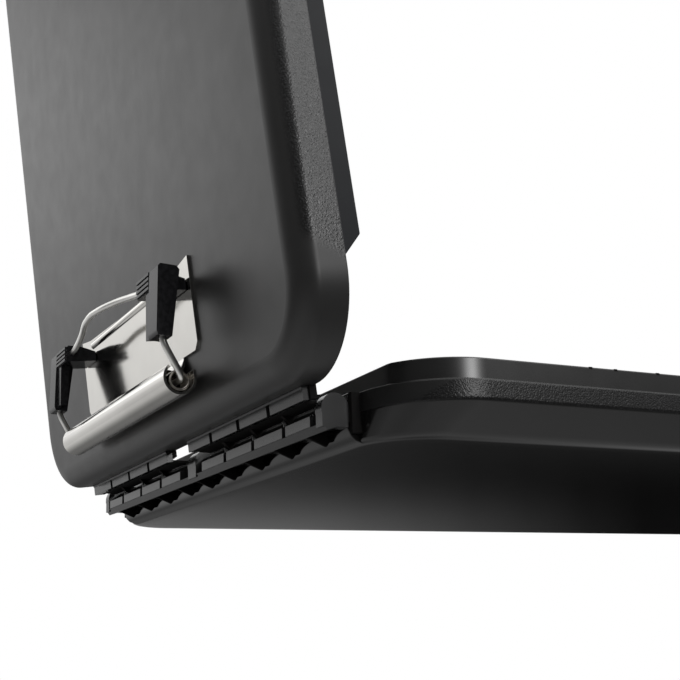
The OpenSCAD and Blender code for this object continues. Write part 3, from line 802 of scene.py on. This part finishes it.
# ---------------------------------------------------------------- clip
def clip_plate():
    """The pressed sheet: plate, bead, joggle, rolled channel and tabs. A dark lining inside the
    channel, which is painted shade, is a piece of its own together with the webs that carry the
    bail, which are real parts given the same painted shade."""
    low = ROLL_H - ROLL_R
    hollow_r = ROLL_R - SHEET
    channel = (arc(ROLL_U, ROLL_H, ROLL_R, ROLL_LIP, 270, ROLL_STEPS)
               + [(ROLL_U + 2, low), (ROLL_U + 2, low + SHEET)]
               + arc(ROLL_U, ROLL_H, hollow_r, 270, ROLL_LIP, ROLL_STEPS))
    joggle = [(ROLL_U + 1.5, low), (ROLL_U + 3, low), (PLATE_START - 1, 0), (PLATE_START + 1, 0),
              (PLATE_START + 1, SHEET), (PLATE_START - 0.6, SHEET), (ROLL_U + 3.4, low + SHEET),
              (ROLL_U + 1.5, low + SHEET)]
    x_in = CLIP_X - NOTCH_W
    half = [(x_in - BEARING_CUT, PLATE_START), (CLIP_X - CORNER_CUT, PLATE_START),
            (CLIP_X, PLATE_START + CORNER_CUT), (CLIP_X, PLATE_END + 2.3),
            (CLIP_X - 10, PLATE_END + 1)]
    top = [(-x, y) for x, y in reversed(half)] + half + [(0, PLATE_END)]
    plate = ([(x, y, z) for z in (0, SHEET) for x, y in top],
             end_faces(2, len(top)) + ring_faces(0, len(top)))
    bead = arc(PLATE_END - 1.2, -0.1, 1.7, 20, 160, 14)
    solids = [plate, prism(channel, -ROLL_X, ROLL_X), prism(joggle, -x_in, x_in),
              prism(bead, -x_in, x_in)]
    tab_z = -LID_T - SHEET
    for u in (PLATE_START + 1.2, PLATE_END - 4):
        solids += prisms([(u, tab_z), (u + TAB_FOLD, tab_z), (u + TAB_FOLD, -LID_T),
                          (u, -LID_T)], [TAB_SPAN])
    # The lining is painted shade: a dark sheet inside the channel, where there is only shade.
    lining = (arc(ROLL_U, ROLL_H, hollow_r + 0.05, ROLL_LIP - 2, 265, ROLL_STEPS)
              + arc(ROLL_U, ROLL_H, hollow_r - 0.12, 265, ROLL_LIP - 2, ROLL_STEPS))
    web = arc(ROLL_U, ROLL_H, hollow_r + 0.1, 0, 350, WEB_STEPS)
    inside = [prism(lining, 0.6 - ROLL_X, ROLL_X - 0.6)] + prisms(web, [WEB_SPAN])
    for name, parts, material, bevel in (("clip_sheet", solids, PLATE, 0.18),
                                         ("clip_channel_shade", inside, CHANNEL_PAINTED_SHADE, 0.04)):
        obj = fused(name, parts, ON_LID, material, bevel)
        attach(obj, "lid_body")
        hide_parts("clip_plate")


def bail_wire():
    """The bent wire: from one bearing, up its arm, over the bowed crossbar and back."""
    half = [(WIRE_START, PIVOT_U, PIVOT_H), (ARM_X, PIVOT_U, PIVOT_H), (ARM_X, ARM_U, ARM_H),
            (ARM_X, CROSS_U, CROSS_H)] + BOW
    points = half + [(-x, u, h) for x, u, h in reversed(half[:-1])]
    obj = tube("bail_wire_bent", smooth_path(points, WIRE_BEND), WIRE_R, ON_LID, WIRE,
               sides=20)
    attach(obj, "bail_body")
    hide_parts("bail_wire")


def bail_spring(name, side):
    """The coil in one end of the channel, with a straight tail at its inner end."""
    first = ROLL_X - SPRING_INSET - SPRING_TURNS * SPRING_PITCH
    points = [(side * first, PIVOT_U + SPRING_TAIL, PIVOT_H - SPRING_R)]
    for k in range(SPRING_TURNS * COIL_STEPS + 1):
        a = 2 * math.pi * k / COIL_STEPS
        points.append((side * (first + SPRING_PITCH * (k / COIL_STEPS)),
                       PIVOT_U + SPRING_R * math.sin(a), PIVOT_H - SPRING_R * math.cos(a)))
    obj = tube(name + "_coil", points, SPRING_WIRE_R, ON_LID, SPRING, sides=12)
    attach(obj, "lid_body")
    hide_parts(name)


def bail_grip(name, side):
    """One moulded grip: the part along the arm, the part along the crossbar, the flange between
    the two, and four ribs."""
    out = ARM_X + GRIP_OUT
    x_in = out - GRIP_W
    far = out - GRIP_REACH
    lap = x_in + GRIP_LAP
    start = GRIP_U - GRIP_L
    arm = [(start, 9.9), (start + 0.7, 14), (start + 2, 14.3), (50, 11.6), (50.6, 10.8),
           (49.8, 6), (48.6, 5.3)]
    cross = [(44.6, SHEET + 0.3), (48, SHEET + 0.3), (49.8, 5.8), (50.5, 10.6), (50, 11.2),
             (44.8, 12)]
    flange = [(start + 1.5, 11), (start + 1.5, 13.4), (46, 11.6), (46, 8.4)]
    pieces = [(arm, x_in, out), (cross, far, lap), (flange, x_in - GRIP_FLANGE, lap)]
    for i in range(RIBS):
        u = RIB_START + RIB_PITCH * i
        rib = [(u, 11), (u, 12.35 - RIB_DROP * i), (u + RIB_T, 12.25 - RIB_DROP * i),
               (u + RIB_T, 11)]
        pieces.append((rib, far + 0.4, x_in - 0.4))
    solids = [prism(profile, *((a, b) if side > 0 else (-b, -a))) for profile, a, b in pieces]
    obj = fused(name + "_moulded", solids, ON_LID, GRIP, bevel=0.6, segments=3)
    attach(obj, "bail_body")
    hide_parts(name)


# ---------------------------------------------------------------- stage
# Lamps: name, azimuth and elevation in degrees, distance and size in metres, radiance
LAMPS = [("key", 27, 35.8, 1.5, (0.5, 0.8), 3.2),
         ("edge", 13.5, 12.5, 1.5, (0.3, 0.16), 24),
         ("fill", 203, 22, 1.6, (0.7, 0.4), 0.5)]
LAMP_AIM = (0.06, -0.16, 0.02)

# How clear the black flags are, by direction from +X towards +Y in degrees. The columns after
# the direction are: 26 to 42 degrees below the centre's level, 7.5 degrees below it, 5.5
# degrees below it, at its level, and the slope above it at which they are fully open.
FLAGS = [(0, 0.1, 0.04, 0.04, 0.03, 0.9), (27, 0.1, 0.05, 0.05, 0.03, 1.3),
         (45, 0.12, 0.06, 0.06, 0.05, 0.75), (90, 0.25, 0.12, 0.08, 0.08, 0.5),
         (128, 0.4, 0.0, 0.003, 0.01, 0.5), (138, 0.25, 0.0, 0.005, 0.01, 0.5),
         (142, 0.2, 0.0, 0.02, 0.04, 0.45), (147, 0.15, 0.005, 0.07, 0.1, 0.4),
         (152, 0.15, 0.015, 0.14, 0.18, 0.35), (156, 0.2, 0.025, 0.22, 0.27, 0.35),
         (160, 0.25, 0.04, 0.26, 0.3, 0.35), (167, 0.25, 0.08, 0.3, 0.45, 0.3),
         (185, 0.2, 0.15, 0.35, 0.7, 0.3), (200, 0.3, 0.75, 0.7, 0.75, 0.25),
         (208, 0.4, 0.5, 0.5, 0.6, 0.28), (216, 0.6, 0.35, 0.3, 0.42, 0.3),
         (230, 0.6, 0.35, 0.06, 0.06, 0.8), (250, 0.6, 0.32, 0.04, 0.02, 1.4),
         (285, 0.5, 0.1, 0.03, 0.02, 1.4), (320, 0.3, 0.05, 0.02, 0.02, 1.4),
         (360, 0.1, 0.04, 0.04, 0.03, 0.9)]
FLAG_LEVELS = [-62, -42, -26, -7.5, -5.5, 0]
FLAG_NADIR = 0.55  # how clear they are straight below, up to the first level
FLAG_R = 3.0
FLAG_COLUMNS = 120
FLAG_ROWS = 180


def floor():
    """The pale floor, which is clear from below because the camera looks up past it."""
    mat, tree, shader = new_material("pale_floor")
    shader.inputs["Base Color"].default_value = (0.8, 0.8, 0.8, 1)
    shader.inputs["Roughness"].default_value = 0.9
    let_through(tree, shader, tree.nodes.new("ShaderNodeNewGeometry").outputs["Backfacing"])
    reach = 12.0
    mesh = bpy.data.meshes.new("floor")
    mesh.from_pydata([(-reach, -reach, 0), (reach, -reach, 0), (reach, reach, 0),
                      (-reach, reach, 0)], [], [(0, 1, 2, 3)])
    mesh.materials.append(mat)
    obj = add_object("floor", mesh)
    obj.location.z = -0.0005
    obj.visible_shadow = False
    obj.visible_glossy = False


def flag_clearness(turn, up):
    """How clear the flags are in a direction: turn in degrees and up in radians."""
    turns, *columns = zip(*FLAGS)
    deep, low, under, least, opens = (np.interp(turn, turns, column) for column in columns)
    if up > 0:
        t = min(math.tan(up) / opens, 1.0)
        return least + (1 - least) * t * t * (3 - 2 * t)
    return np.interp(math.degrees(up), FLAG_LEVELS, [FLAG_NADIR, deep, deep, low, under, least])


def flag_dome():
    """Black studio flags all round that only reflections see, dense low down and open above."""
    verts, clearness, faces = [], [], []
    for j in range(FLAG_ROWS + 1):
        up = math.radians(-89.9 + 179.8 * j / FLAG_ROWS)
        for i in range(FLAG_COLUMNS):
            turn = 360 * i / FLAG_COLUMNS
            a = math.radians(turn)
            verts.append((FLAG_R * math.cos(up) * math.cos(a),
                          FLAG_R * math.cos(up) * math.sin(a), FLAG_R * math.sin(up)))
            clearness.append(flag_clearness(turn, up))
    for j in range(FLAG_ROWS):
        faces += ring_faces(j, FLAG_COLUMNS)
    mesh = bpy.data.meshes.new("flags")
    mesh.from_pydata(verts, [], faces)
    layer = mesh.attributes.new("clearness", "FLOAT", "POINT")
    layer.data.foreach_set("value", clearness)
    mat, tree, shader = new_material("black_flag")
    shader.inputs["Base Color"].default_value = (0, 0, 0, 1)
    shader.inputs["Specular IOR Level"].default_value = 0
    attribute = tree.nodes.new("ShaderNodeAttribute")
    attribute.attribute_name = "clearness"
    let_through(tree, shader, attribute.outputs["Fac"])
    mesh.materials.append(mat)
    obj = add_object("flags", mesh)
    obj.visible_camera = False
    obj.visible_diffuse = False
    obj.visible_transmission = False
    obj.visible_shadow = False


def world():
    """A white surround, which is dimmer for the light that it sheds than as it is seen."""
    made = bpy.data.worlds.new("studio")
    bpy.context.scene.world = made
    made.use_nodes = True
    tree = made.node_tree
    tree.nodes.clear()
    out = tree.nodes.new("ShaderNodeOutputWorld")
    shown = node(tree, "ShaderNodeBackground", Strength=1.0, Color=(1, 1, 1, 1))
    lit = node(tree, "ShaderNodeBackground", Strength=0.6, Color=(1, 1, 1, 1))
    path = tree.nodes.new("ShaderNodeLightPath")
    seen = math_node(tree, "MAXIMUM", path.outputs["Is Camera Ray"],
                     path.outputs["Is Glossy Ray"])
    seen = math_node(tree, "MAXIMUM", seen, path.outputs["Is Transmission Ray"])
    mix = tree.nodes.new("ShaderNodeMixShader")
    tree.links.new(seen, mix.inputs[0])
    tree.links.new(lit.outputs[0], mix.inputs[1])
    tree.links.new(shown.outputs[0], mix.inputs[2])
    tree.links.new(mix.outputs[0], out.inputs[0])


def softbox(name, azimuth, elevation, distance, size, radiance):
    """A soft light in a direction from +X towards +Y, facing a place near the hinge."""
    a, e = math.radians(azimuth), math.radians(elevation)
    way = Vector((math.cos(a) * math.cos(e), math.sin(a) * math.cos(e), math.sin(e)))
    data = bpy.data.lights.new(name, "AREA")
    data.shape = "RECTANGLE"
    data.size, data.size_y = size
    data.energy = radiance * math.pi * size[0] * size[1]
    obj = add_object(name, data)
    obj.location = Vector(LAMP_AIM) + way * distance
    obj.rotation_mode = "QUATERNION"
    obj.rotation_quaternion = (-way).to_track_quat("-Z", "Y")


def camera():
    """The photograph's view: near the hinge's +X end, a little below the tray's bottom. Its
    place from the hinge, its angles and its lens were fitted to the photograph's edges."""
    data = bpy.data.cameras.new("camera")
    data.sensor_width = 36.0
    data.lens = 63.53
    data.clip_start, data.clip_end = 0.01, 50
    obj = add_object("camera", data)
    obj.location = HINGE + Vector((0.3653, -0.14215, -0.06163))
    obj.rotation_euler = [math.radians(a) for a in (104.627, 2.249, 62.533)]
    bpy.context.scene.camera = obj


def main():
    """Makes the stage, then every piece, and gives the two rods their plastic."""
    bpy.context.scene.view_settings.view_transform = "Standard"
    camera()
    world()
    floor()
    flag_dome()
    for lamp in LAMPS:
        softbox(*lamp)
    tray_shell()
    rim_notches()
    tray_hinge()
    lid_shell()
    lid_hinge()
    lid_tongues()
    clip_plate()
    bail_wire()
    for end, side in (("near", 1), ("far", -1)):
        bail_spring("bail_spring_" + end, side)
        bail_grip("bail_grip_" + end, side)
        rod = frame["nodes"]["hinge_rod_" + end]
        rod.data.materials.clear()
        rod.data.materials.append(HINGE_PLASTIC)


main()
